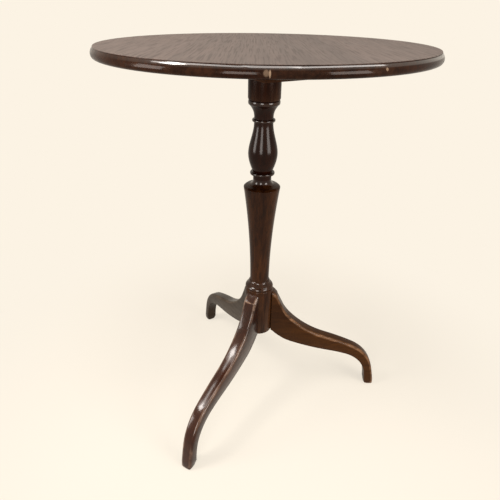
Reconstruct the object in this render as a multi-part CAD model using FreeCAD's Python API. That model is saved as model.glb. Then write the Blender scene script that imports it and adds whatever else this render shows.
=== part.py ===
import FreeCAD, Part
import math
import os

# Tilt-top wine table: a round top on a turned column with three swept legs

Vector = FreeCAD.Vector
UP = Vector(0, 0, 1)
ORIGIN = Vector(0, 0, 0)

# Whole table, in millimetres, with the floor at zero and the column on the Z axis
table_height = 712.0
cut_overrun = 5.0
glue_gap = 0.05
running_gap = 0.3

# Round top with a small step and a thumb-moulded edge
top_diameter = 520.0
top_thickness = 15.0
step_width = 3.6
step_drop = 1.2
thumb_height = 7.0
thumb_pole_out = 1.1
thumb_pole_spread = 6.4
under_edge_setback = 2.8

# Turned column, each member with its own height and radius
hub_bottom_height = 158.0
hub_height = 104.0
hub_radius = 28.0
hub_edge = 1.5
base_quirk_height = 2.4
base_quirk_depth = 1.6
base_ring_height = 2.2
base_ring_edge = 1.2
bell_height = 9.0
foot_ring_height = 2.4
foot_ring_swell = 1.0
shaft_foot_radius = 18.8
shoulder_radius = 33.1
shoulder_edge = 0.3
dome_height = 4.8
neck_radius = 16.3
lower_neck_height = 19.2
ring_height = 4.6
ring_swell = 5.6
ring_rise = 0.75
vase_foot_swell = 0.6
vase_swell = 9.4
vase_lower_height = 32.6
vase_upper_height = 50.5
vase_bend_height = 8.1
vase_bend_run = 0.88
vase_neck_height = 4.2
collar_height = 4.2
collar_swell = 3.4
collar_edge = 1.3
upper_neck_height = 3.6
cavetto_height = 20.0
cavetto_setback = 1.8
cavetto_lean_height = 12.0
cavetto_lean_in = 5.0
astragal_height = 7.0
astragal_setback = 0.5
astragal_rise = 0.8
drum_quirk_height = 0.8
drum_quirk_depth = 1.9
drum_height = 35.9
drum_radius = 27.1
drum_edge_run = 1.2
drum_edge_height = 3.4
tenon_radius = 15.0

# Swept legs, one every third of a turn from the +X axis
leg_names = ("leg_right", "leg_back", "leg_front")
leg_hub_width = 27.6
leg_foot_width = 22.6
leg_top_gap = 6.0
leg_shoulder_run = 11.5
leg_shoulder_drop = 12.2
leg_corner_run = 4.1
leg_corner_drop = 7.8
foot_outer_radius = 269.0
foot_depth = 22.0
foot_edge = 3.0
tongue_depth = 12.0
tongue_neck_width = 9.0
tongue_wide_width = 13.0
tongue_top_gap = 8.0

# Points that the arcs of the leg's two edges pass, as shares of reach and height
upper_point_shares = ((0.099, 0.814), (0.455, 0.590), (0.732, 0.484), (0.951, 0.2314))
lower_point_shares = ((0.190, 0.806), (0.586, 0.648), (0.766, 0.583), (0.979, 0.2586))
lower_start_share = 0.572

# Pivot block on the column's tenon, drawn with the tilt axis along X
tilt_axis_turn = 30.0
block_width = 80.0
block_length = 132.0
block_height = 31.0
block_nose_radius = 12.5
block_edge = 1.2
peg_radius = 7.0
peg_fit = 0.08
wedge_height = 22.0
wedge_top = 4.0
wedge_tip = 1.2

# Bearers screwed under the top, either side of the block
bearer_thickness = 20.0
bearer_length = 340.0
bearer_depth = 25.0
bearer_flat = 120.0
bearer_end_depth = 11.0
bearer_edge = 1.5
bearer_side_gap = 0.5

# Brass catch under the top: plate with two keepers, sliding bolt and knob
catch_start_gap = 4.0
plate_length = 50.0
plate_width = 46.0
plate_thickness = 2.4
plate_corner = 5.0
keeper_width = 26.0
keeper_length = 8.0
keeper_inset = 4.0
keeper_wall = 2.2
keeper_round = 3.0
bolt_drop = 2.0
bolt_width = 12.0
bolt_thickness = 6.0
bolt_nose_gap = 1.2
bolt_tail_gap = 2.0
bolt_bevel = 1.5
bolt_travel = 7.0
knob_radius = 6.5
knob_height = 5.0
knob_stem_radius = 2.5
knob_stem_gap = 2.0

# Brass strike let into the end of the block
strike_width = 36.0
strike_height = 11.0
strike_thickness = 1.6
strike_hole_extra = 3.0

# Levels and places worked out from the sizes above
top_radius = top_diameter / 2
underside = table_height - top_thickness
block_top = underside - running_gap
block_bottom = block_top - block_height
hub_top = hub_bottom_height + hub_height
leg_top = hub_top - leg_top_gap
foot_inner_radius = foot_outer_radius - foot_depth
pivot_level = block_top - block_nose_radius
pivot_setback = block_length / 2 - block_nose_radius
bearer_inner = block_width / 2 + bearer_side_gap
catch_start = block_length / 2 + catch_start_gap
plate_bottom = underside - plate_thickness
bolt_top = plate_bottom - bolt_drop
bolt_bottom = bolt_top - bolt_thickness
bolt_level = (bolt_top + bolt_bottom) / 2
keeper_bottom = bolt_bottom - running_gap - keeper_wall


class Outline:
    """A chain of lines and arcs in the XZ plane, drawn from point to point."""

    def __init__(self, r, z):
        self.start = Vector(r, 0, z)
        self.here = self.start
        self.heading = UP
        self.edges = []

    def line(self, r, z):
        there = Vector(r, 0, z)
        if there.distanceToPoint(self.here) > Part.Precision.confusion():
            self.edges.append(Part.LineSegment(self.here, there).toShape())
            self.head(there.x - self.here.x, there.z - self.here.z)
        self.here = there
        return self

    def head(self, dr, dz):
        self.heading = Vector(dr, 0, dz).normalize()
        return self

    def sweep(self, r, z):
        """An arc that leaves along the heading and ends at a point."""
        there = Vector(r, 0, z)
        chord = there - self.here
        middle = self.here + chord / 2
        across = Vector(-chord.z, 0, chord.x).normalize()
        turn = math.atan2(self.heading.dot(across), self.heading.dot(chord) / chord.Length)
        middle += across * (chord.Length / 2 * math.tan(turn / 2))
        self.edges.append(Part.Arc(self.here, middle, there).toShape())
        self.heading = (chord / chord.Length) * math.cos(turn) - across * math.sin(turn)
        self.here = there
        return self

    def bend(self, lean_out, lean_in, r, z):
        """A cubic curve with its two inner poles given."""
        there = Vector(r, 0, z)
        inner = [Vector(r, 0, z) for r, z in (lean_out, lean_in)]
        bezier = Part.BezierCurve()
        bezier.setPoles([self.here] + inner + [there])
        self.edges.append(bezier.toShape())
        self.here = there
        return self

    def bead(self, crown, rise, z):
        """A rounded ring, drawn out to its root first and left there."""
        below = self.here.z
        root = crown - rise
        self.line(root, below)
        there = Vector(root, 0, z)
        through = Vector(crown, 0, (below + z) / 2)
        self.edges.append(Part.Arc(self.here, through, there).toShape())
        self.here = there
        return self

    def band(self, crown, edge, z):
        """A square ring with bevelled edges, left at its upper edge."""
        self.line(crown - edge, self.here.z)
        self.line(crown, self.here.z + edge)
        self.line(crown, z - edge)
        return self.line(crown - edge, z)

    def face(self):
        self.line(self.start.x, self.start.z)
        return Part.Face(Part.Wire(self.edges))

    def turned(self):
        return self.face().revolve(ORIGIN, UP, 360)


def box(x0, x1, y0, y1, z0, z1):
    return Part.makeBox(x1 - x0, y1 - y0, z1 - z0, Vector(x0, y0, z0))


def rod(radius, start, end):
    axis = end - start
    return Part.makeCylinder(radius, axis.Length, start, axis)


def edges_where(solid, test):
    return [edge for edge in solid.Edges if test(edge.CenterOfMass, edge)]


def placed(shape):
    """Turn a piece of the tilting head from its drawing axes to the table."""
    turned = shape.copy()
    turned.rotate(ORIGIN, UP, tilt_axis_turn)
    return turned


def near(a, b):
    return abs(a - b) < glue_gap


def make_table_top():
    belly = table_height - step_drop - thumb_height
    outer = top_radius + thumb_pole_out
    outline = Outline(0, underside)
    outline.line(top_radius - under_edge_setback, underside)
    lower_pole = (outer, belly - thumb_pole_spread / 2)
    upper_pole = (outer, belly + thumb_pole_spread / 2)
    outline.bend(lower_pole, upper_pole, top_radius - step_width, table_height - step_drop)
    outline.line(top_radius - step_width, table_height)
    outline.line(0, table_height)
    return outline.turned()


def column_outline():
    foot_ring_radius = shaft_foot_radius + foot_ring_swell
    vase_foot_radius = neck_radius + vase_foot_swell
    vase_radius = neck_radius + vase_swell
    cavetto_radius = drum_radius - cavetto_setback

    outline = Outline(0, hub_bottom_height)
    outline.line(hub_radius - hub_edge, hub_bottom_height)
    outline.line(hub_radius, hub_bottom_height + hub_edge)
    z = hub_top
    outline.line(hub_radius, z)
    z += base_quirk_height / 2
    outline.line(hub_radius - base_quirk_depth, z)
    z += base_quirk_height / 2
    outline.line(hub_radius, z)
    z += base_ring_height
    outline.line(hub_radius, z)
    z += base_ring_edge
    outline.line(hub_radius - base_ring_edge, z)
    z += bell_height
    outline.line(foot_ring_radius, z)
    z += foot_ring_height
    outline.line(foot_ring_radius, z)
    outline.line(shaft_foot_radius, z)

    z = shaft_top_level()
    outline.head(0, z - outline.here.z).sweep(shoulder_radius, z)
    outline.line(shoulder_radius - shoulder_edge / 2, z + shoulder_edge)
    z += dome_height
    outline.line(neck_radius, z)
    z += lower_neck_height
    outline.line(neck_radius, z)
    z += ring_height
    outline.bead(neck_radius + ring_swell, ring_rise, z)
    outline.line(vase_foot_radius, z)
    belly = z + vase_lower_height
    lean = vase_radius - vase_foot_radius
    outline.head(2 * lean * vase_lower_height, vase_lower_height ** 2 - lean ** 2)
    outline.sweep(vase_radius, belly)
    z = belly + vase_upper_height
    outline.sweep(vase_radius - vase_bend_run, belly + vase_bend_height)
    outline.line(neck_radius + vase_bend_run, z - vase_bend_height)
    outline.sweep(neck_radius, z)
    z += vase_neck_height
    outline.line(neck_radius, z)
    z += collar_height
    outline.band(neck_radius + collar_swell, collar_edge, z)
    outline.line(neck_radius, z)
    z += upper_neck_height
    outline.line(neck_radius, z)
    z += cavetto_height
    lean_out = (neck_radius, z - cavetto_lean_height)
    lean_in = (cavetto_radius - cavetto_lean_in, z - cavetto_lean_in)
    outline.bend(lean_out, lean_in, cavetto_radius, z)
    z += astragal_height
    outline.bead(drum_radius - astragal_setback, astragal_rise, z)
    outline.line(drum_radius - drum_quirk_depth, z)
    z += drum_quirk_height
    outline.line(drum_radius - drum_quirk_depth, z)
    outline.line(drum_radius - drum_edge_run, z)
    outline.line(drum_radius, z + drum_edge_height)
    outline.line(drum_radius, block_bottom)
    outline.line(tenon_radius, block_bottom)
    outline.line(tenon_radius, block_top)
    outline.line(0, block_top)
    return outline


def shaft_top_level():
    """Where the tapered shaft ends, found from the block downwards."""
    upper = drum_height + drum_quirk_height + astragal_height + cavetto_height
    upper += upper_neck_height + collar_height + vase_neck_height
    upper += vase_upper_height + vase_lower_height + ring_height
    upper += lower_neck_height + dome_height
    return block_bottom - upper


def tongue(gap):
    """Dovetail tongue on the leg's inner end, drawn along X, with room all round it."""
    root = hub_radius + cut_overrun
    tip = hub_radius - tongue_depth - gap
    neck_half = tongue_neck_width / 2 + gap
    wide_half = tongue_wide_width / 2 + gap
    slope = (wide_half - neck_half) / (hub_radius - tip)
    root_half = neck_half - slope * (root - hub_radius)
    bottom = hub_bottom_height
    if gap:
        bottom -= cut_overrun
    corners = [
        Vector(root, -root_half, bottom),
        Vector(root, root_half, bottom),
        Vector(tip, wide_half, bottom),
        Vector(tip, -wide_half, bottom),
    ]
    height = leg_top - tongue_top_gap + gap - bottom
    return Part.Face(Part.makePolygon(corners + corners[:1])).extrude(UP * height)


def make_column():
    column = column_outline().turned()
    for place in range(len(leg_names)):
        socket = tongue(glue_gap)
        socket.rotate(ORIGIN, UP, leg_angle(place))
        column = column.cut(socket)
    return column.cut(placed(wedge_shape(glue_gap)))


def leg_angle(place):
    return 360 * place / len(leg_names)


def leg_points(inner, outer, height, point_shares):
    """Points of one edge of the leg, from the hub to the floor."""
    reach = outer - inner
    passed = [(inner + reach * u, height * v) for u, v in point_shares]
    return [(inner, height)] + passed + [(outer, foot_edge)]


def leg_half(radius):
    """Half the leg's width at a distance from the column's axis."""
    share = (radius - hub_radius) / (foot_outer_radius - hub_radius)
    return (leg_hub_width + (leg_foot_width - leg_hub_width) * share) / 2


def leg_plan():
    """Upright prism that gives the leg its tapering width."""
    ends = (hub_radius - tongue_depth - cut_overrun, foot_outer_radius + cut_overrun)
    corners = [Vector(end, -leg_half(end), -cut_overrun) for end in ends]
    corners += [Vector(end, leg_half(end), -cut_overrun) for end in ends[::-1]]
    return Part.Face(Part.makePolygon(corners + corners[:1])).extrude(UP * (leg_top + 2 * cut_overrun))


def sole_bevel(side):
    """Sliver cut off one long edge of the foot's sole."""
    edge = side * leg_foot_width / 2
    inner = foot_inner_radius - cut_overrun
    corners = [
        Vector(inner, edge - side * foot_edge, 0),
        Vector(inner, edge + side * cut_overrun, 0),
        Vector(inner, edge + side * cut_overrun, foot_edge + cut_overrun),
    ]
    length = foot_outer_radius + cut_overrun - inner
    return Part.Face(Part.makePolygon(corners + corners[:1])).extrude(Vector(length, 0, 0))


def make_leg(place):
    inside = hub_radius - tongue_depth
    shoulder = (hub_radius + leg_shoulder_run, leg_top - leg_shoulder_drop)
    knee_radius = shoulder[0] + leg_corner_run
    knee_height = shoulder[1] - leg_corner_drop
    upper = leg_points(knee_radius, foot_outer_radius, knee_height, upper_point_shares)
    lower = leg_points(hub_radius, foot_inner_radius, hub_bottom_height, lower_point_shares)

    under = Outline(*lower[0])
    under.head(lower_start_share * (foot_inner_radius - hub_radius), -hub_bottom_height)
    for point in lower[1:]:
        under.sweep(*point)
    outline = Outline(hub_radius, hub_bottom_height)
    outline.line(inside, hub_bottom_height)
    outline.line(inside, leg_top)
    outline.line(hub_radius, leg_top)
    outline.line(*shoulder)
    for point in upper:
        outline.sweep(*point)
    outline.line(foot_outer_radius - foot_edge, 0)
    outline.line(foot_inner_radius + foot_edge, 0)
    outline.line(*lower[-1])
    section = Part.Face(Part.Wire(outline.edges + under.edges[::-1]))
    thick = 2 * leg_half(0)
    blank = section.extrude(Vector(0, thick, 0))
    blank.translate(Vector(0, -thick / 2, 0))
    leg = blank.common(leg_plan())
    for side in (-1, 1):
        leg = leg.cut(sole_bevel(side))
    hub = Part.makeCylinder(hub_radius + glue_gap, leg_top + cut_overrun, ORIGIN)
    leg = leg.cut(hub).fuse(tongue(0)).removeSplitter()
    leg.rotate(ORIGIN, UP, leg_angle(place))
    return leg


def wedge_shape(gap):
    """Wedge across the tenon, thick end up, trimmed to the tenon's round."""
    bottom = block_top - wedge_height - gap
    top = block_top
    if gap:
        top += cut_overrun
    rise = (wedge_top - wedge_tip) / 2 / wedge_height
    tip_half = wedge_tip / 2 + gap
    top_half = tip_half + rise * (top - bottom)
    reach = tenon_radius + cut_overrun
    corners = [
        Vector(-reach, -tip_half, bottom),
        Vector(-reach, tip_half, bottom),
        Vector(-reach, top_half, top),
        Vector(-reach, -top_half, top),
    ]
    wedge = Part.Face(Part.makePolygon(corners + corners[:1])).extrude(Vector(2 * reach, 0, 0))
    return wedge.common(rod(tenon_radius, Vector(0, 0, bottom), Vector(0, 0, top)))


def make_bearer(side):
    half = bearer_length / 2
    flat = bearer_flat / 2
    low = underside - bearer_depth
    end = underside - bearer_end_depth
    corners = [(-half, underside), (half, underside), (half, end), (flat, low), (-flat, low), (-half, end)]
    inner = side * bearer_inner
    points = [Vector(inner, y, z) for y, z in corners]
    across = Vector(side * bearer_thickness, 0, 0)
    bearer = Part.Face(Part.makePolygon(points + points[:1])).extrude(across)
    below = underside - glue_gap
    worked = edges_where(bearer, lambda c, e: c.z < below and not near(e.BoundBox.XLength, 0))
    bearer = bearer.makeFillet(bearer_edge, worked)
    start = Vector(inner - side * cut_overrun, -pivot_setback, pivot_level)
    stop = Vector(inner + side * (bearer_thickness + cut_overrun), -pivot_setback, pivot_level)
    return bearer.cut(rod(peg_radius + peg_fit, start, stop))


def make_pivot_block():
    half_width = block_width / 2
    half_length = block_length / 2
    block = box(-half_width, half_width, -half_length, half_length, block_bottom, block_top)
    nose = edges_where(block, lambda c, e: near(c.y, -half_length) and near(c.z, block_top))
    block = block.makeFillet(block_nose_radius, nose)
    lower = edges_where(block, lambda c, e: near(c.z, block_bottom) and near(e.BoundBox.ZLength, 0))
    block = block.makeChamfer(block_edge, lower)
    block = block.cut(rod(tenon_radius + glue_gap, Vector(0, 0, block_bottom), Vector(0, 0, block_top)))
    for side in (-1, 1):
        root = Vector(side * half_width, -pivot_setback, pivot_level)
        tip = Vector(side * (bearer_inner + bearer_thickness), -pivot_setback, pivot_level)
        block = block.fuse(rod(peg_radius, root, tip))
    return block.cut(strike_blank(glue_gap)).cut(bolt_hole())


def bolt_hole():
    half = bolt_width / 2 + running_gap
    face = block_length / 2
    depth = bolt_travel + strike_hole_extra
    low = bolt_bottom - running_gap
    high = bolt_top + running_gap
    return box(-half, half, face - depth, face + cut_overrun, low, high)


def strike_blank(gap):
    half = strike_width / 2 + gap
    face = block_length / 2
    front = face
    if gap:
        front += cut_overrun
    tall = strike_height / 2 + gap
    return box(-half, half, face - strike_thickness - gap, front, bolt_level - tall, bolt_level + tall)


def make_strike_plate():
    return strike_blank(0).cut(bolt_hole())


def keeper_starts():
    last = catch_start + plate_length - keeper_inset - keeper_length
    return (catch_start + keeper_inset, last)


def make_catch_plate():
    half = plate_width / 2
    plate = box(-half, half, catch_start, catch_start + plate_length, plate_bottom, underside)
    uprights = edges_where(plate, lambda c, e: near(e.BoundBox.ZLength, plate_thickness))
    plate = plate.makeFillet(plate_corner, uprights)
    for start in keeper_starts():
        wide = keeper_width / 2
        keeper = box(-wide, wide, start, start + keeper_length, keeper_bottom, plate_bottom)
        rounded = edges_where(keeper, lambda c, e: near(c.z, keeper_bottom) and near(abs(c.x), wide))
        plate = plate.fuse(keeper.makeFillet(keeper_round, rounded))
    way = bolt_width / 2 + running_gap
    low = bolt_bottom - running_gap
    high = bolt_top + running_gap
    end = catch_start + plate_length + cut_overrun
    plate = plate.cut(box(-way, way, catch_start - cut_overrun, end, low, high))
    return plate.removeSplitter()


def knob_place():
    """Middle of the knob at rest, against the rear keeper with the bolt drawn back."""
    rear_keeper = keeper_starts()[1]
    return rear_keeper - knob_stem_gap - knob_stem_radius


def make_catch_bolt():
    half = bolt_width / 2
    nose = block_length / 2 + bolt_nose_gap
    tail = catch_start + plate_length - bolt_tail_gap
    bolt = box(-half, half, nose, tail, bolt_bottom, bolt_top)
    nose_edges = edges_where(bolt, lambda c, e: near(c.y, nose) and not near(abs(c.x), half))
    bolt = bolt.makeChamfer(bolt_bevel, nose_edges)
    bottom = Vector(0, knob_place(), bolt_bottom - cut_overrun)
    top = Vector(0, knob_place(), bolt_top + cut_overrun)
    return bolt.cut(rod(knob_stem_radius + glue_gap, bottom, top))


def make_catch_knob():
    stem_bottom = keeper_bottom - knob_stem_gap
    base = stem_bottom - knob_height
    outline = Outline(0, base)
    outline.line(knob_radius, base)
    outline.line(knob_radius, stem_bottom)
    outline.line(knob_stem_radius, stem_bottom)
    outline.line(knob_stem_radius, bolt_top)
    outline.line(0, bolt_top)
    knob = outline.turned()
    knob.translate(Vector(0, knob_place(), 0))
    return knob


def make_pieces():
    pieces = {"column": make_column(), "table_top": make_table_top()}
    for place, name in enumerate(leg_names):
        pieces[name] = make_leg(place)
    for side, name in ((-1, "near"), (1, "far")):
        pieces["bearer_" + name] = placed(make_bearer(side))
    pieces["pivot_block"] = placed(make_pivot_block())
    pieces["tenon_wedge"] = placed(wedge_shape(0))
    pieces["strike_plate"] = placed(make_strike_plate())
    pieces["catch_plate"] = placed(make_catch_plate())
    pieces["catch_bolt"] = placed(make_catch_bolt())
    pieces["catch_knob"] = placed(make_catch_knob())
    return pieces


os.makedirs("parts", exist_ok=True)
for name, shape in make_pieces().items():
    shape.exportStep("parts/" + name + ".step")
    print(name, len(shape.Solids), round(shape.Volume), shape.isValid())
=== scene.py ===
import bpy
import bmesh
import math
from mathutils import Matrix, Vector


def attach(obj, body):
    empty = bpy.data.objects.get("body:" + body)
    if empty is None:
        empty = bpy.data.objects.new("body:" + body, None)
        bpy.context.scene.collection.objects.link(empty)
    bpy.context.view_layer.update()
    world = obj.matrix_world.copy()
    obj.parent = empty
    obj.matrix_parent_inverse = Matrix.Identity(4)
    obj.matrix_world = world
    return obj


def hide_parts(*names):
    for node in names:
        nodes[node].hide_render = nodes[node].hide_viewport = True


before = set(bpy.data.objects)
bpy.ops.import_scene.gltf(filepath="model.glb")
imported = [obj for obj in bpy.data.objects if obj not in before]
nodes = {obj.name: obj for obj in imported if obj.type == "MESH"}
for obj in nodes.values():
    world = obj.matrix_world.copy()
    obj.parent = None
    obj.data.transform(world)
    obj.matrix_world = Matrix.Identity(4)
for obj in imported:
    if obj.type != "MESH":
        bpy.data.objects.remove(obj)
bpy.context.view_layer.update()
mm = 0.001
tiny = 1e-6
print("frame loaded with", len(nodes), "nodes")


# wraps a shader socket so that masks can be written as sums
class Wire:
    def __init__(self, tree, socket=None):
        self.tree = tree
        self.socket = socket

    def node(self, kind, settings=None, inputs=None, output=0):
        made = self.tree.nodes.new("ShaderNode" + kind)
        for name, value in (settings or {}).items():
            setattr(made, name, value)
        self.feed(made, inputs or {})
        return Wire(self.tree, made.outputs[output])

    # values or links for a node's sockets
    def feed(self, made, inputs):
        for name, value in inputs.items():
            if isinstance(value, Wire):
                self.tree.links.new(value.socket, made.inputs[name])
            else:
                made.inputs[name].default_value = value

    def math(self, operation, first, second=0.0):
        return self.node("Math", {"operation": operation}, {0: first, 1: second})

    def __add__(self, other):
        return self.math("ADD", self, other)

    def __sub__(self, other):
        return self.math("SUBTRACT", self, other)

    def __rsub__(self, other):
        return self.math("SUBTRACT", other, self)

    def __mul__(self, other):
        return self.math("MULTIPLY", self, other)

    def __abs__(self):
        return self.math("ABSOLUTE", self)

    __radd__ = __add__
    __rmul__ = __mul__

    # 0 below low, 1 above high, soft between
    def step(self, low, high):
        return self.node("MapRange", {"interpolation_type": "SMOOTHSTEP"},
                         {"Value": self, "From Min": low, "From Max": high})

    def mix(self, first, second):
        return self.node("Mix", {"data_type": "RGBA"}, {0: self, 6: first, 7: second}, 2)

    def place(self):
        return self.node("TexCoord", output=3)  # object coordinates

    def axis(self, index):
        return self.node("SeparateXYZ", None, {0: self}, index)

    def vector(self, operation, other):
        return self.node("VectorMath", {"operation": operation}, {0: self, 1: other})

    def length(self):
        return self.node("VectorMath", {"operation": "LENGTH"}, {0: self}, 1)


def newMaterial(name):
    material = bpy.data.materials.new(name)
    material.use_nodes = True
    return material, Wire(material.node_tree), material.node_tree.nodes["Principled BSDF"]


# stains of the polished mahogany, from its pores to its rubbed edges; the worn colour is also a painted
# highlight on the legs' noses
columnStain = {"deep": (0.0015, 0.0006, 0.0004), "body": (0.0110, 0.0016, 0.0005),
               "warm": (0.041, 0.0142, 0.0035), "wornAndHighlight": (0.13, 0.065, 0.034)}
# the legs' colours differ by the light on each leg: the right one is painted with a warm glow and the back
# one with a grey sheen; the front one is darker and redder
rightStainAndGlow = {"deep": (0.011, 0.0034, 0.0008), "body": (0.0240, 0.0078, 0.0014),
              "warm": (0.050, 0.0172, 0.0030), "wornAndHighlight": (0.26, 0.135, 0.070)}
frontStain = {"deep": (0.005, 0.0013, 0.0006), "body": (0.017, 0.0036, 0.0012),
              "warm": (0.045, 0.0102, 0.0030), "wornAndHighlight": (0.30, 0.190, 0.130)}
backStainAndSheen = {"deep": (0.007, 0.0039, 0.0022), "body": (0.020, 0.0120, 0.0066),
             "warm": (0.034, 0.0195, 0.0100), "wornAndHighlight": (0.13, 0.090, 0.060)}
# the face's pale grey-brown is a painted sheen, the glancing reflection the top shows, over the dark wood
faceStainAndSheen = {"deep": (0.072, 0.0590, 0.0530), "body": (0.123, 0.0945, 0.0825),
             "warm": (0.137, 0.1000, 0.0860), "wornAndHighlight": (0.22, 0.15, 0.110)}

# figure of the wood before it is drawn out along the grain
woodFigure = {
    "broad": {"Scale": 9.0, "Detail": 3.0, "Distortion": 0.6},
    "streak": {"Scale": 130.0, "Detail": 4.0, "Roughness": 0.6},
    "pores": {"Scale": 420.0, "Detail": 2.0},
    "cloud": {"Scale": 14.0, "Detail": 3.0},
}

# how stain, wear and polish follow the figure
woodLook = {
    "poreSpan": (0.36, 0.52), "broadTone": 0.8, "streakTone": 0.5,
    "rubCloud": (0.35, 0.62), "rubStreak": (0.35, 0.6), "rubFloor": 0.3,
    "bodySpan": (0.05, 0.95), "warmSpan": (0.25, 0.95), "poreStain": 0.4, "rub": 0.6,
    "coatCloud": 0.5, "roughCloud": 0.14, "roughPores": 0.08, "roughRub": 0.10,
    "bump": 0.025, "bumpDepth": 0.0005, "bumpStreak": 0.4, "bumpPores": 0.6,
    "tint": (1.0, 0.60, 0.40, 1), "coatIndex": 1.5,
}


# turn is the grain's heading in plan, and stretch draws the figure out
def grainOf(w, stretch, turn=0.0):
    look = woodLook
    place = w.place()
    turned = w.node("Mapping", None, {"Vector": place, "Rotation": (0, 0, -turn)})
    along = w.node("Mapping", None, {"Vector": turned, "Scale": stretch})
    grain = {}
    for name, figure in woodFigure.items():
        vector = place if name == "cloud" else along
        grain[name] = w.node("TexNoise", None, {"Vector": vector, **figure})
    streak, cloud = grain["streak"], grain["cloud"]
    grain["pores"] = 1 - grain["pores"].step(*look["poreSpan"])
    grain["tone"] = (grain["broad"] - 0.5) * look["broadTone"] + (streak - 0.5) * look["streakTone"] + 0.5
    # the wear attribute holds real wear, and on the legs' noses a painted highlight
    wearAndHighlight = w.node("Attribute", {"attribute_name": "wearAndHighlight"}, None, 2)
    patches = look["rubFloor"] + (1 - look["rubFloor"]) * streak.step(*look["rubStreak"])
    grain["rubbed"] = wearAndHighlight * cloud.step(*look["rubCloud"]) * patches
    return grain


def stained(grain, stain, warmth, pores=woodLook["poreStain"], rub=woodLook["rub"]):
    tone = grain["tone"]
    colour = tone.step(*woodLook["bodySpan"]).mix((*stain["deep"], 1), (*stain["body"], 1))
    colour = (tone.step(*woodLook["warmSpan"]) * warmth).mix(colour, (*stain["warm"], 1))
    colour = (grain["pores"] * pores).mix(colour, (*stain["deep"], 1))
    # rubbed places take the worn colour: real wear, and a painted highlight line on the legs' noses
    return (grain["rubbed"] * rub).mix(colour, (*stain["wornAndHighlight"], 1))


def polished(w, shader, grain, colour, coat, rough, sheen, film):
    look = woodLook
    pores, clouding = grain["pores"], grain["cloud"] - 0.5
    height = grain["streak"] * look["bumpStreak"] - pores * look["bumpPores"]
    unevenness = clouding * look["roughCloud"] + pores * look["roughPores"]
    w.feed(shader, {
        "Base Color": colour, "Coat Weight": coat * (1 + clouding * look["coatCloud"]),
        "Roughness": rough + unevenness + grain["rubbed"] * look["roughRub"],
        "Normal": w.node("Bump", None, {"Strength": look["bump"], "Distance": look["bumpDepth"],
                                        "Height": height}),
        "Specular IOR Level": sheen, "Specular Tint": look["tint"],
        "Coat Roughness": film, "Coat IOR": look["coatIndex"],
    })


# the column's warmth rises below its shoulder, a painted warm glow of the light from the floor on the shaft
# and hub, and its coat differs between levels
def byLevel(w, look):
    level, soft = w.place().axis(2), look["bandSoft"]
    low, high, rise = look["paintedGlowBelow"]
    warmth = look["warmth"] + (1 - level.step(low, high)) * rise
    coat = look["coat"]
    for low, high, factor in look["coatBands"]:
        inside = level.step(low, low + soft) * (1 - level.step(high - soft, high))
        coat = coat * (1 + inside * (factor - 1))
    return warmth, coat


def mahogany(name, look, turn=0.0):
    material, w, shader = newMaterial(name)
    grain = grainOf(w, look["stretch"], turn)
    warmth, coat = byLevel(w, look) if "coatBands" in look else (look["warmth"], look["coat"])
    colour = stained(grain, look["stain"], warmth, rub=look.get("rub", woodLook["rub"]))
    polished(w, shader, grain, colour, coat, look["rough"], look["sheen"], look["film"])
    return material


# dull face inside the step, painted pale grey-brown as its glancing sheen, dark glossy moulding outside it
# and bare wood beneath, by radius and level in metres; the gloss fades towards the left and right ends of the
# rim
topFinish = {
    "stretch": (1.0, 0.03, 1.0), "rimWarmth": 0.3, "faceWarmth": 0.35, "facePores": 0.75, "underWarmth": 0.5,
    "faceEdge": (0.2556, 0.2562), "faceLevel": (0.7108, 0.7116),
    "underEdge": (0.2555, 0.2575), "underLevel": (0.6968, 0.6974),
    "glossEdge": (0.2560, 0.2566), "glossLevel": (0.7062, 0.7076), "lowGloss": 0.14,
    "endMiddle": 0.04, "endSpan": (0.15, 0.24), "endLoss": 0.95,
    "rough": 0.20, "faceRough": 0.36, "underRough": 0.7, "sheen": 0.04, "film": 0.08,
    "bareWood": (0.17, 0.115, 0.075, 1),
}

# pale chips of the rim: place, squeeze of their outline, reach in metres and strength
rimMarks = (
    ((-0.0002, -0.2595, 0.7030), (2.2, 1.0, 0.6), 0.0032, 0.8),
    ((-0.0040, -0.2595, 0.7036), (1.0, 1.0, 0.9), 0.0040, 0.35),
    ((0.1300, -0.2245, 0.7052), (1.0, 1.0, 1.0), 0.0026, 0.7),
    ((-0.0345, -0.2566, 0.7112), (0.5, 1.0, 1.0), 0.0016, 0.6),
)


def topBoard(name):
    look = topFinish
    material, w, shader = newMaterial(name)
    grain = grainOf(w, look["stretch"])
    place = w.place()
    radius, level = place.vector("MULTIPLY", (1, 1, 0)).length(), place.axis(2)
    face = (1 - radius.step(*look["faceEdge"])) * level.step(*look["faceLevel"])
    below = (1 - radius.step(*look["underEdge"])) * (1 - level.step(*look["underLevel"]))
    # inside the step the face takes the paler colour that paints its glancing sheen
    colour = face.mix(stained(grain, columnStain, look["rimWarmth"]),
                      stained(grain, faceStainAndSheen, look["faceWarmth"], look["facePores"]))
    # the underside borrows the right leg's colour, with its painted warm glow
    colour = below.mix(colour, stained(grain, rightStainAndGlow, look["underWarmth"]))
    for point, squeeze, reach, share in rimMarks:
        apart = place.vector("SUBTRACT", point).vector("MULTIPLY", squeeze).length()
        ragged = apart + (grain["cloud"] - 0.5) * reach
        colour = ((1 - ragged.step(reach / 2, reach)) * share).mix(colour, look["bareWood"])
    ends = abs(place.axis(0) - look["endMiddle"]).step(*look["endSpan"])
    gloss = look["lowGloss"] + (1 - look["lowGloss"]) * level.step(*look["glossLevel"])
    gloss = gloss * radius.step(*look["glossEdge"]) * (1 - below) * (1 - look["endLoss"] * ends)
    rough = look["rough"] + face * look["faceRough"] + below * look["underRough"]
    polished(w, shader, grain, colour, gloss, rough, look["sheen"], look["film"])
    return material


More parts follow.
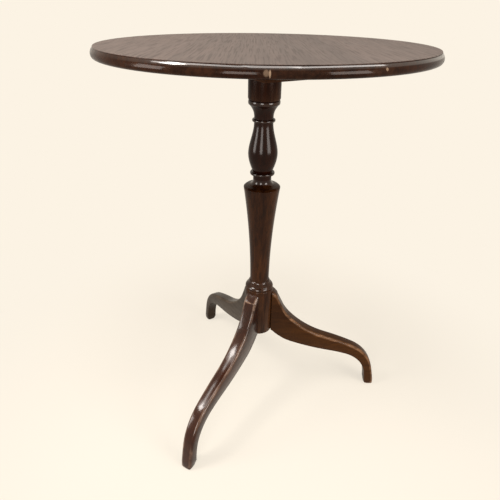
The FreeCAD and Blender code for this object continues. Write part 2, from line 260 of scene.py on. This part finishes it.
# old brass, clean in patches and finely scratched
brassLook = {
    "cloud": {"Scale": 130.0, "Detail": 5.0}, "scratch": {"Scale": 260.0, "Detail": 2.0},
    "scratchStretch": (1, 9, 9), "cleanSpan": (0.38, 0.66), "bump": 0.08, "bumpDepth": 0.0003,
    "rough": 0.28, "patinaRough": 0.25, "scratchRough": 0.12,
}


def oldBrass(name, tone, patina):
    look = brassLook
    material, w, shader = newMaterial(name)
    place = w.place()
    across = w.node("Mapping", None, {"Vector": place, "Scale": look["scratchStretch"]})
    clean = w.node("TexNoise", None, {"Vector": place, **look["cloud"]}).step(*look["cleanSpan"])
    scratch = w.node("TexNoise", None, {"Vector": across, **look["scratch"]})
    dull = (1 - clean) * look["patinaRough"] + (scratch - 0.5) * look["scratchRough"]
    w.feed(shader, {
        "Base Color": clean.mix((*patina, 1), (*tone, 1)), "Metallic": 1.0, "Roughness": look["rough"] + dull,
        "Normal": w.node("Bump", None, {"Strength": look["bump"], "Distance": look["bumpDepth"],
                                        "Height": scratch}),
    })
    return material


# one mesh object, active, alone and in edit mode
def startPiece(name, primitive, **sizes):
    bpy.ops.object.select_all(action="DESELECT")
    primitive(**sizes)
    piece = bpy.context.active_object
    piece.name = piece.data.name = name
    bpy.ops.object.mode_set(mode="EDIT")
    return piece


def endPiece(piece, body, replaced, material, smooth=35.0):
    bpy.ops.object.mode_set(mode="OBJECT")
    bpy.ops.object.select_all(action="DESELECT")
    piece.select_set(True)
    bpy.context.view_layer.objects.active = piece
    bpy.ops.object.shade_smooth_by_angle(angle=math.radians(smooth))
    piece.data.materials.clear()
    piece.data.materials.append(material)
    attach(piece, body)
    if replaced:
        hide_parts(replaced)


# a copy with its own mesh, which holds its place
def copyPiece(model, name, matrix):
    piece = bpy.data.objects.new(name, model.data.copy())
    piece.data.name = name
    bpy.context.scene.collection.objects.link(piece)
    bpy.context.view_layer.objects.active = piece
    piece.data.transform(matrix)
    return piece


# the line that a turner's template follows, as points of radius, level and wear
class Template:
    def __init__(self, shape):
        self.points = []
        for moves in shape.values():
            for move in moves:
                if isinstance(move[0], str):
                    getattr(self, move[0])(*move[1:])
                else:
                    self.to(*move)

    def to(self, radius, level, wearAndHighlight=0.0):
        self.points.append((radius, level, wearAndHighlight))

    def bead(self, crown, top, steps, wearAndHighlight=0.15):
        root, bottom = self.points[-1][:2]
        middle, half = (bottom + top) / 2, (top - bottom) / 2
        for i in range(1, steps + 1):
            angle = math.pi * (i / steps - 0.5)
            self.to(root + (crown - root) * math.cos(angle), middle + half * math.sin(angle),
                    wearAndHighlight * max(0.0, math.cos(angle)) ** 3)

    # a cubic curve by its two handles and its end
    def bend(self, first, second, end, steps, wearAndHighlight=0.0):
        corners = (self.points[-1][:2], first, second, end)
        for i in range(1, steps + 1):
            t = i / steps
            weights = ((1 - t) ** 3, 3 * t * (1 - t) ** 2, 3 * t * t * (1 - t), t ** 3)
            radius, level = (sum(k * p[axis] for k, p in zip(weights, corners)) for axis in (0, 1))
            self.to(radius, level, wearAndHighlight)

    # one long arc that leaves its foot upright
    def hollow(self, radius, level, steps):
        start, foot = self.points[-1][:2]
        rise, run = level - foot, radius - start
        arc = (rise * rise + run * run) / (2 * run)
        for i in range(1, steps + 1):
            up = rise * i / steps
            self.to(start + arc - math.sqrt(arc ** 2 - up ** 2), foot + up)


# rings are extruded upwards from a first circle, each scaled to its radius
def turnPiece(name, shape, sides):
    points = Template(shape).points
    piece = startPiece(name, bpy.ops.mesh.primitive_circle_add, vertices=sides, radius=points[0][0] * mm,
                       fill_type="NGON", location=(0, 0, 0))
    bpy.ops.mesh.select_all(action="SELECT")
    bpy.ops.transform.translate(value=(0, 0, points[0][1] * mm))
    for (inner, low, _), (outer, high, _) in zip(points, points[1:]):
        bpy.ops.mesh.extrude_region_move(TRANSFORM_OT_translate={"value": (0, 0, (high - low) * mm)})
        bpy.ops.transform.resize(value=(outer / inner, outer / inner, 1), center_override=(0, 0, 0))
    bpy.ops.mesh.select_all(action="SELECT")
    bpy.ops.mesh.normals_make_consistent(inside=False)
    bpy.ops.object.mode_set(mode="OBJECT")
    rubbed = piece.data.attributes.new("wearAndHighlight", "FLOAT", "POINT")
    for vertex in piece.data.vertices:
        rubbed.data[vertex.index].value = points[vertex.index // sides][2]  # ring follows ring
    return piece


# turned column by its members, from the hub's underside to the tenon in the block, in millimetres
hub, neck, drum = 28.0, 16.3, 27.1
columnShape = {
    "hub": ((hub - 1.8, 158.0), (hub - 0.5, 158.5, 0.6), (hub, 159.8, 0.2), (hub, 261.5),
            (hub - 0.3, 262.0, 0.5), (hub - 1.5, 262.5), (hub - 1.5, 263.2)),
    "hubBead": ((26.7, 263.4), (27.5, 264.0), (28.0, 265.2), (27.9, 266.2), (27.4, 267.5), (26.6, 269.0),
                (25.6, 270.0), (24.7, 270.6), (24.2, 271.1), (22.5, 273.1), (21.0, 274.9)),
    "footBead": ((21.2, 275.5), (21.4, 276.3), (21.35, 277.2), (20.9, 278.5), (20.2, 279.9), (19.5, 280.7)),
    "shaft": ((18.8, 281.1), ("hollow", 33.1, 478.3, 40)),
    "shoulder": ((33.0, 478.8), (30.2, 481.2), ("bend", (24.0, 482.9), (16.5, 482.9), (neck, 492.3), 20),
                 (neck, 502.0), (neck + 0.4, 502.3)),
    "ring": ((neck + 4.4, 502.3), ("bead", neck + 5.6, 506.9, 12), (neck + 0.9, 506.9), (neck + 0.6, 507.2)),
    "vase": (("bend", (19.4, 512.6), (25.7, 526.5), (25.7, 539.5), 16),
             ("bend", (25.7, 556.0), (neck + 0.2, 574.0), (neck, 591.0), 20)),
    "collar": ((neck, 593.9), (neck + 2.2, 594.2), ("bead", neck + 3.4, 598.4, 10), (neck, 598.8)),
    "cavetto": ((neck, 602.0), ("bend", (16.3, 610.0), (20.3, 617.0), (25.1, 621.8), 14)),
    "drumBead": ((25.6, 622.0), ("bead", drum - 0.4, 629.0, 12), (drum - 1.9, 629.1), (drum - 1.9, 629.8)),
    "drum": ((drum - 1.3, 629.9, 0.3), ("bend", (drum - 0.5, 630.2), (drum, 631.4), (drum, 633.2), 5, 0.25),
             (drum, 665.1), (drum - 0.6, 665.7)),
    "tenon": ((15.0, 665.7), (15.0, 696.6)),
}

# beads and coves are burnished brighter and the drum is duller, by level in metres, and below the shoulder
# the colour takes a painted warm glow
columnFinish = {
    "stretch": (1.0, 1.0, 0.10), "stain": columnStain, "warmth": 0.15, "paintedGlowBelow": (0.481, 0.491, 1.1),
    "coat": 0.22, "rough": 0.25, "sheen": 0.02, "film": 0.15, "bandSoft": 0.0008,
    "coatBands": ((0.2620, 0.2815, 2.0), (0.4835, 0.4945, 2.2), (0.5015, 0.5075, 2.2),
                  (0.5935, 0.5990, 2.2), (0.6215, 0.6294, 2.2), (0.6292, 0.7000, 0.4)),
}
column = turnPiece("column_turned", columnShape, sides=112)
endPiece(column, "stand", "column", mahogany("columnPolish", columnFinish))
print("column turned", len(column.data.polygons))

# round top with a stepped thumb moulding, in millimetres
rim, underside, face = 260.0, 697.0, 712.0
ledge = face - 1.6
topShape = {
    "underside": ((40.0, underside), (rim - 12.0, underside), (rim - 3.3, underside)),
    "thumb": (("bend", (rim - 0.4, underside + 1.2), (rim, 700.5), (rim, 702.5), 10, 0.08),
              ("bend", (rim, 704.2), (rim - 1.1, ledge - 2.6), (rim - 3.7, ledge), 16, 0.08)),
    "step": ((rim - 3.95, ledge + 0.05), (rim - 4.1, face - 0.3), (rim - 4.4, face)),
    "face": ((rim - 6.0, face), (200.0, face), (120.0, face), (40.0, face)),
}
board = turnPiece("top_board", topShape, sides=240)
endPiece(board, "top", "table_top", topBoard("topPolish"))
print("top turned", len(board.data.polygons))

# swept leg along +X, in millimetres; its edges pass points given as shares of their reach and height
legShape = {
    "root": 26.5, "top": 256.0, "knee": (43.6, 236.0), "shoulder": (39.5, 243.8),
    # the reach round the nose is marked as rubbed, which paints a highlight line along it
    "nose": ((37.2, 245.0), (38.7, 242.3), (39.4, 239.2)), "noseSteps": 3, "noseHighlightReach": 1.3,
    "outerFoot": 269.0, "innerFoot": 247.0, "foot": 158.0,
    "upperPasses": ((0.099, 0.814), (0.455, 0.590), (0.732, 0.484), (0.951, 0.2314)),
    "lowerPasses": ((0.190, 0.806), (0.586, 0.648), (0.766, 0.583), (0.979, 0.2586)),
    "lowerLean": 0.572, "steps": 8, "pastNose": 11, "hubHalf": 13.8, "footHalf": 11.3,
    "wideRound": {"offset": 5.2 * mm, "segments": 5}, "underRound": {"offset": 1.5 * mm, "segments": 2},
    "sharpAngle": 0.8, "edgeReach": 1.0, "slack": 0.1,
    "softHeight": 10.0, "softening": {"factor": 0.5, "repeat": 5}, "soleFlat": 0.4,
}


# points of a chain of tangent arcs, given its first heading
def sweptChain(points, heading, steps):
    chain = [Vector(points[0])]
    heading = Vector(heading).normalized()
    for end in points[1:]:
        start = chain[-1]
        chord = Vector(end) - start
        along = chord.normalized()
        across = Vector((-chord.y, chord.x)).normalized()
        turn = math.atan2(heading.dot(across), heading.dot(along))
        for i in range(1, steps + 1):
            if abs(turn) < tiny:
                chain.append(start + chord * (i / steps))
                continue
            swing = turn * (1 - 2 * i / steps)
            bow = chord.length / 2 / math.sin(turn)
            chain.append(start + chord / 2 + along * (-bow * math.sin(swing))
                         + across * bow * (math.cos(swing) - math.cos(turn)))
        heading = along * math.cos(turn) - across * math.sin(turn)
    return chain


def lengthsAlong(chain):
    lengths = [0.0]
    for a, b in zip(chain, chain[1:]):
        lengths.append(lengths[-1] + (b - a).length)
    return lengths


# points of a chain at given shares of its length
def spreadAlong(chain, shares):
    lengths = lengthsAlong(chain)
    spread = []
    for share in shares:
        target = share * lengths[-1]
        i = max(k for k, length in enumerate(lengths[:-1]) if length <= target + tiny)
        part = (target - lengths[i]) / (lengths[i + 1] - lengths[i])
        spread.append(chain[i].lerp(chain[i + 1], min(1.0, part)))
    return spread


# pairs of points on the leg's upper and lower edge, from the hub to the sole
def legStations():
    s = legShape
    kneeOut, kneeUp = s["knee"]
    start, nose = Vector((hub, s["top"])), Vector(s["nose"][0])
    upper = [s["shoulder"], s["knee"]]
    upper += [(kneeOut + (s["outerFoot"] - kneeOut) * u, kneeUp * v) for u, v in s["upperPasses"]]
    upper.append((s["outerFoot"], 0))
    over = [Vector((s["root"], s["top"])), start.lerp(nose, 0.5)]
    over += sweptChain(s["nose"], nose - start, s["noseSteps"])  # stands in for the sweep's first points
    over += sweptChain(upper, Vector(s["shoulder"]) - start, s["steps"])[s["pastNose"]:]
    reach = s["innerFoot"] - hub
    lower = [(hub, s["foot"])]
    lower += [(hub + reach * u, s["foot"] * v) for u, v in s["lowerPasses"]]
    lower.append((s["innerFoot"], 0))
    under = [Vector((s["root"], s["foot"]))]
    under += sweptChain(lower, (s["lowerLean"] * reach, -s["foot"]), s["steps"])
    lengths = lengthsAlong(over)
    return list(zip(over, spreadAlong(under, [length / lengths[-1] for length in lengths])))


# one strip of side faces grown station by station, then given its width
def sawLeg():
    s = legShape
    stations = legStations()
    piece = startPiece("leg_sawn", bpy.ops.mesh.primitive_plane_add, size=mm, location=(0, 0, 0))
    mesh = bmesh.from_edit_mesh(piece.data)
    corners = [stations[0][0], stations[0][1], stations[1][1], stations[1][0]]
    first = mesh.faces[:][0].verts
    for vertex, corner in zip(first, corners):
        vertex.co = (corner.x * mm, 0, corner.y * mm)
    last = [first[3], first[2]]
    for above, below in stations[2:]:
        bpy.ops.mesh.select_all(action="DESELECT")
        for vertex in last:
            vertex.select = True
        mesh.select_flush(True)
        reached = last[0].co.copy()
        bpy.ops.mesh.extrude_edges_move()
        mesh = bmesh.from_edit_mesh(piece.data)
        last = sorted((v for v in mesh.verts if v.select), key=lambda v: (v.co - reached).length)
        for vertex, corner in zip(last, (above, below)):
            vertex.co = (corner.x * mm, 0, corner.y * mm)
    bmesh.update_edit_mesh(piece.data)
    bpy.ops.mesh.select_all(action="SELECT")
    bpy.ops.mesh.extrude_region_move(TRANSFORM_OT_translate={"value": (0, mm, 0)})
    mesh = bmesh.from_edit_mesh(piece.data)
    for vertex in mesh.verts:
        share = (vertex.co.x / mm - s["root"]) / (s["outerFoot"] - s["root"])
        half = s["hubHalf"] + (s["footHalf"] - s["hubHalf"]) * share
        vertex.co.y = (half if vertex.co.y > mm / 2 else -half) * mm
    bpy.ops.mesh.select_all(action="SELECT")
    bpy.ops.mesh.normals_make_consistent(inside=False)
    roundArrises(piece, [above for above, below in stations])
    softenSole(piece)
    bpy.ops.object.mode_set(mode="OBJECT")
    return piece


# wide rounds above and at the sole, remembered as worn, and small ones beneath; the shoulder's nose is marked
# the same way as a painted highlight
def roundArrises(piece, upper):
    s = legShape
    bpy.ops.mesh.select_mode(type="EDGE")
    for wide in (True, False):
        bpy.ops.mesh.select_all(action="DESELECT")
        mesh = bmesh.from_edit_mesh(piece.data)
        for edge in mesh.edges:
            middle = (edge.verts[0].co + edge.verts[1].co) / 2 / mm
            place = Vector((middle.x, middle.z))
            above = min((place - (a + b) / 2).length for a, b in zip(upper, upper[1:])) < s["edgeReach"]
            free = edge.calc_face_angle(0) > s["sharpAngle"] and middle.x > s["root"] + s["slack"]
            if free and (above or middle.z < s["slack"]) == wide:
                edge.select_set(True)
        bmesh.update_edit_mesh(piece.data)
        bpy.ops.mesh.bevel(**s["wideRound" if wide else "underRound"])
        if wide:
            mesh = bmesh.from_edit_mesh(piece.data)
            rubbed = mesh.verts.layers.float.new("wearAndHighlight")
            for vertex in mesh.verts:
                place = Vector((vertex.co.x, vertex.co.z)) / mm
                # the nose is marked as rubbed too, a painted highlight rather than wear
                onNoseHighlight = (place - Vector(s["nose"][1])).length < s["noseHighlightReach"]
                if onNoseHighlight or all(face.select for face in vertex.link_faces):
                    vertex[rubbed] = 1.0
            bmesh.update_edit_mesh(piece.data)


# rubs the foot's edges smooth and lays the sole flat on the floor
def softenSole(piece):
    s = legShape
    bpy.ops.mesh.select_mode(type="VERT")
    bpy.ops.mesh.select_all(action="DESELECT")
    mesh = bmesh.from_edit_mesh(piece.data)
    for vertex in mesh.verts:
        vertex.select_set(vertex.co.z < s["softHeight"] * mm)
    bmesh.update_edit_mesh(piece.data)
    bpy.ops.mesh.vertices_smooth(**s["softening"])
    mesh = bmesh.from_edit_mesh(piece.data)
    lowest = min(vertex.co.z for vertex in mesh.verts)
    for vertex in mesh.verts:
        if vertex.co.z < lowest + s["soleFlat"] * mm:
            vertex.co.z = 0.0
    bmesh.update_edit_mesh(piece.data)


# the three legs share one shape and one wood; each has a polish of its own and a colour set by its light: a
# painted warm glow on the right leg, a painted grey sheen on the back leg, and a darker red on the front leg
legFinish = {"stretch": (0.12, 1.0, 0.8), "rough": 0.3}
legLooks = {
    "right": {"stain": rightStainAndGlow, "warmth": 0.9, "rub": 0.42, "sheen": 0.04, "coat": 0.12, "film": 0.17},
    "back": {"stain": backStainAndSheen, "warmth": 0.4, "rub": 0.2, "sheen": 0.04, "coat": 0.17, "film": 0.17},
    "front": {"stain": frontStain, "warmth": 0.4, "rub": 0.35, "sheen": 0.07, "coat": 0.43, "film": 0.13},
}
sawn = sawLeg()
for i, (side, look) in enumerate(legLooks.items()):
    angle = math.tau * i / len(legLooks)
    legWood = mahogany("legPolish_" + side, {**legFinish, **look}, angle)
    leg = copyPiece(sawn, "leg_" + side + "_shaped", Matrix.Rotation(angle, 4, "Z"))
    endPiece(leg, "stand", "leg_" + side, legWood, smooth=40.0)
bpy.data.objects.remove(sawn)
print("legs shaped")


# a CAD node's own form with its triangles joined, for smooth polish
def dressNode(name, body, material):
    bpy.ops.object.select_all(action="DESELECT")
    piece = copyPiece(nodes[name], name + "_dressed", Matrix())
    piece.select_set(True)
    bpy.ops.object.mode_set(mode="EDIT")
    bpy.ops.mesh.select_all(action="SELECT")
    bpy.ops.mesh.remove_doubles(threshold=tiny)
    endPiece(piece, body, name, material, smooth=30.0)


# block, bearers and catch, with the tilting axis turned from the right leg
headTurn = math.radians(30)
blockFinish = {"stretch": (1.0, 0.12, 1.0), "stain": columnStain, "warmth": 0.8, "coat": 0.08,
               "rough": 0.38, "sheen": 0.05, "film": 0.08}
headWood = {"pivot_block": "stand", "tenon_wedge": "stand", "bearer_near": "top", "bearer_far": "top"}
headBrass = {"strike_plate": "stand", "catch_plate": "top", "catch_bolt": "catch", "catch_knob": "catch"}
blockWood = mahogany("blockPolish", blockFinish, headTurn)
for name, body in headWood.items():
    dressNode(name, body, blockWood)
catchBrass = oldBrass("catchBrass", tone=(0.42, 0.29, 0.12), patina=(0.19, 0.120, 0.055))
for name, body in headBrass.items():
    dressNode(name, body, catchBrass)
print("block, bearers and catch dressed")

# slotted screw heads, sunk so that only their faces show, in millimetres in the head's own frame
screwShape = {"radius": 3.4, "sides": 28, "sunk": 2.0, "proud": 0.3, "slot": 0.9, "slotDepth": 0.9,
              "round": {"offset": 0.25 * mm, "segments": 2}}
down, lean = math.pi, math.atan2(14.0, 110.0)  # the bearers' ends slope up by this lean
screwRows = (
    {"names": ("screw_bearer_near_1", "screw_bearer_far_1"), "body": "top", "at": (50.5, -140.0, 682.18),
     "tilt": down - lean, "spin": 0.4, "scale": 1.0},
    {"names": ("screw_bearer_near_2", "screw_bearer_far_2"), "body": "top", "at": (50.5, 18.0, 672.0),
     "tilt": down, "spin": 1.1, "scale": 1.0},
    {"names": ("screw_bearer_near_3", "screw_bearer_far_3"), "body": "top", "at": (50.5, 140.0, 682.18),
     "tilt": down + lean, "spin": 0.8, "scale": 1.0},
    {"names": ("screw_strike_1", "screw_strike_2"), "body": "stand", "at": (12.5, 66.0, 689.6),
     "tilt": -math.pi / 2, "spin": 0.9, "scale": 0.6},
    {"names": ("screw_catch_1", "screw_catch_3"), "body": "top", "at": (18.0, 76.5, 694.6),
     "tilt": down, "spin": 0.0, "scale": 0.62},
    {"names": ("screw_catch_2", "screw_catch_4"), "body": "top", "at": (18.0, 113.5, 694.6),
     "tilt": down, "spin": 0.5, "scale": 0.62},
)


def turnScrew():
    s = screwShape
    piece = startPiece("screw_model", bpy.ops.mesh.primitive_cylinder_add, vertices=s["sides"],
                       radius=s["radius"] * mm, depth=(s["sunk"] + s["proud"]) * mm, location=(0, 0, 0))
    bpy.ops.mesh.select_all(action="SELECT")
    bpy.ops.transform.translate(value=(0, 0, (s["proud"] - s["sunk"]) / 2 * mm))
    bpy.ops.mesh.bevel(**s["round"])
    bpy.ops.object.mode_set(mode="OBJECT")
    slot = startPiece("screw_slot", bpy.ops.mesh.primitive_cube_add, size=mm, location=(0, 0, 0))
    bpy.ops.transform.resize(value=(s["radius"] * 3, s["slot"], 2 * s["slotDepth"]))
    bpy.ops.transform.translate(value=(0, 0, s["proud"] * mm))
    bpy.ops.object.mode_set(mode="OBJECT")
    bpy.context.view_layer.objects.active = piece
    cut = piece.modifiers.new("slot", "BOOLEAN")
    cut.operation, cut.object, cut.solver = "DIFFERENCE", slot, "EXACT"
    bpy.ops.object.modifier_apply(modifier=cut.name)
    bpy.data.objects.remove(slot)
    return piece


# each row has a screw on the near side and one on the far side
screwBrass = oldBrass("screwBrass", tone=(0.34, 0.24, 0.11), patina=(0.12, 0.08, 0.045))
model = turnScrew()
for i, side in enumerate((-1, 1)):
    for row in screwRows:
        out, along, level = row["at"]
        place = Matrix.Translation(Vector((side * out, along, level)) * mm)
        turned = Matrix.Rotation(row["tilt"], 4, "X") @ Matrix.Rotation(row["spin"], 4, "Z")
        screw = copyPiece(model, row["names"][i], Matrix.Rotation(headTurn, 4, "Z") @ place @ turned
                          @ Matrix.Scale(row["scale"], 4))
        endPiece(screw, row["body"], None, screwBrass)
bpy.data.objects.remove(model)
print("screws set", 2 * len(screwRows))

# pale floor and world, seen in cream by the eye and by mirrors, with a soft shadow near the feet
stageLook = {
    "cream": (0.974, 0.896, 0.776, 1), "floor": (0.500, 0.459, 0.400, 1), "floorRough": 0.9, "size": 24.0,
    "shadowSpan": (0.30, 0.75), "shadowShare": 0.34, "lampWhite": (1.0, 0.97, 0.93), "ambient": 0.45,
    "aim": (0, 0, 0.5),
}


# camera, glossy and transmission rays
def seenShare(w):
    camera, glossy, through = (w.node("LightPath", output=output) for output in (0, 3, 6))
    return w.math("MINIMUM", camera + glossy + through, 1.0)


floorMaterial, w, shader = newMaterial("paleFloor")
w.feed(shader, {"Base Color": stageLook["floor"], "Roughness": stageLook["floorRough"],
                "Specular IOR Level": 0.0})
glow = w.node("Emission", None, {"Color": stageLook["cream"], "Strength": 1.0})
near = 1 - w.place().length().step(*stageLook["shadowSpan"])
share = seenShare(w) * (1 - near * stageLook["shadowShare"])
mixed = w.node("MixShader", None, {0: share, 1: Wire(w.tree, shader.outputs[0]), 2: glow})
w.tree.links.new(mixed.socket, w.tree.nodes["Material Output"].inputs["Surface"])
floor = startPiece("floor", bpy.ops.mesh.primitive_plane_add, size=stageLook["size"], location=(0, 0, 0))
bpy.ops.object.mode_set(mode="OBJECT")
floor.data.materials.append(floorMaterial)

world = bpy.data.worlds.new("studio")
bpy.context.scene.world = world
world.use_nodes = True
w = Wire(world.node_tree)
seen = w.node("Background", None, {"Color": stageLook["cream"], "Strength": 1.0})
ambient = w.node("Background", None, {"Color": (*stageLook["lampWhite"], 1),
                                      "Strength": stageLook["ambient"]})
both = w.node("MixShader", None, {0: seenShare(w), 1: ambient, 2: seen})
w.tree.links.new(both.socket, w.tree.nodes["World Output"].inputs["Surface"])

# upright windows round the table and soft panels overhead, some with the heading of their first side
panels = {
    "leftWindow": {"at": (-2.38, -0.77, 1.0), "size": (0.9, 1.3), "bright": 15.5},
    "frontWindow": {"at": (-0.65, -2.4, 1.0), "size": (0.8, 1.3), "bright": 15.5},
    "rightWindow": {"at": (1.85, -1.65, 1.0), "size": (1.1, 1.3), "bright": 14.5},
    "upperLeft": {"at": (-1.4, -0.43, 2.2), "size": (0.42, 0.42), "bright": 44.0},
    "upperBack": {"at": (-1.09, -0.02, 2.2), "size": (0.55, 0.2), "bright": 15.0, "along": (0.52, 0.78, 0)},
    "overhead": {"at": (0.1, -0.85, 2.6), "size": (0.9, 0.8), "bright": 7.5},
    "overRight": {"at": (1.24, -0.44, 2.4), "size": (1.9, 0.46), "bright": 9.0, "along": (0.97, 0.55, 0)},
    "overLeft": {"at": (-1.14, -0.46, 2.4), "size": (1.9, 0.46), "bright": 7.5, "along": (-0.97, 0.55, 0)},
}
for name, panel in panels.items():
    light = bpy.data.lights.new(name, "AREA")
    light.shape = "RECTANGLE"
    light.size, light.size_y = panel["size"]
    light.energy = panel["bright"] * math.pi * light.size * light.size_y
    light.color = stageLook["lampWhite"]
    lamp = bpy.data.objects.new(name, light)
    bpy.context.scene.collection.objects.link(lamp)
    aim = Vector(stageLook["aim"]) - Vector(panel["at"])
    if name.endswith("Window"):
        aim.z = 0
    side = Vector(panel.get("along") or aim.cross((0, 0, 1))).normalized()
    out = (side * aim.dot(side) - aim).normalized()
    facing = Matrix((side, out.cross(side), out)).transposed().to_4x4()
    lamp.matrix_world = Matrix.Translation(panel["at"]) @ facing
    lamp.visible_camera = False
print("floor and light set")

# the photograph's viewpoint, in metres, degrees and millimetres of lens
cameraLook = {"at": (-0.01516, -0.7444, 0.76821), "down": 29.58, "yaw": -0.3635, "roll": -0.841,
              "lens": 31.53, "sensor": 36.0, "near": 0.01}
camera = bpy.data.objects.new("photoCamera", bpy.data.cameras.new("photoCamera"))
bpy.context.scene.collection.objects.link(camera)
camera.data.sensor_width = cameraLook["sensor"]
camera.data.lens = cameraLook["lens"]
camera.data.clip_start = cameraLook["near"]
yaw, tilt, roll = (math.radians(cameraLook[key]) for key in ("yaw", "down", "roll"))
camera.matrix_world = (Matrix.Translation(cameraLook["at"]) @ Matrix.Rotation(-yaw, 4, "Z")
                       @ Matrix.Rotation(math.pi / 2 - tilt, 4, "X") @ Matrix.Rotation(-roll, 4, "Z"))
bpy.context.scene.camera = camera
bpy.context.scene.view_settings.view_transform = "Standard"
print("camera set")
